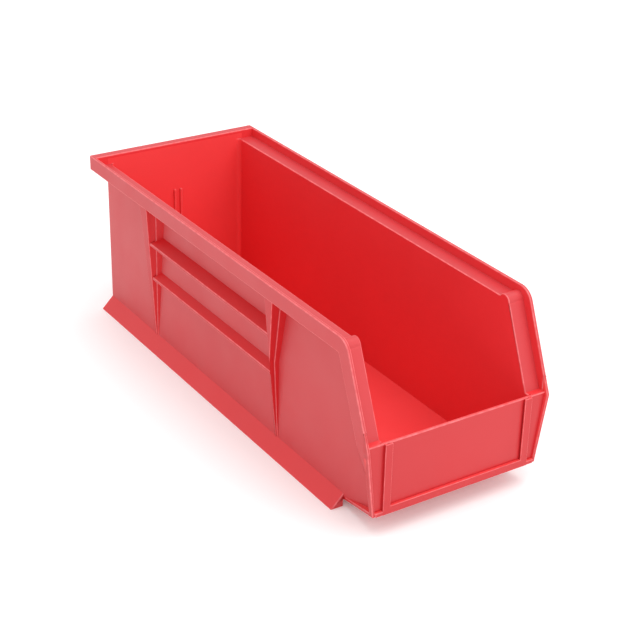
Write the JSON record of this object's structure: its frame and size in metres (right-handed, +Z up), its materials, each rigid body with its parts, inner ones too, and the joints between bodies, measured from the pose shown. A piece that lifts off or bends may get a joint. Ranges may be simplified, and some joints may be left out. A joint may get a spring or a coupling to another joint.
{
  "type": "storage_bin",
  "caption": "Stack-and-hang plastic storage bin with a low hopper front, stepped stacking rim, splayed foot rails and a hanging lip at the back",
  "frame": {"origin": "middle of the footprint on the resting plane", "axes": "+Y from the hopper front to the hanging lip along the length, +Z up, +X to the right of someone looking in through the hopper"},
  "size_m": [0.1396, 0.3746, 0.127],
  "materials": {
    "outer_skin": "fine satin texture on moulded polypropylene",
    "inner_skin": "smooth satin moulded polypropylene",
    "front_skin": "fine satin texture on moulded polypropylene"
  },
  "bodies": {
    "root": {"floor_plate": "inner_skin", "front_ramp": "front_skin", "back_wall": "inner_skin", "left_side_wall": "outer_skin", "right_side_wall": "outer_skin", "front_wall": "front_skin", "left_stacking_rim": "outer_skin", "right_stacking_rim": "outer_skin", "left_stack_stop": "outer_skin", "right_stack_stop": "outer_skin", "rear_hanging_lip": "outer_skin", "left_corner_flange": "front_skin", "right_corner_flange": "front_skin", "label_holder": "front_skin", "left_foot_rail": "outer_skin", "right_foot_rail": "outer_skin", "left_upright_ribs": "outer_skin", "right_upright_ribs": "outer_skin", "left_cross_ribs": "outer_skin", "right_cross_ribs": "outer_skin", "divider_guide_ribs": "inner_skin"}
  },
  "joints": []
}
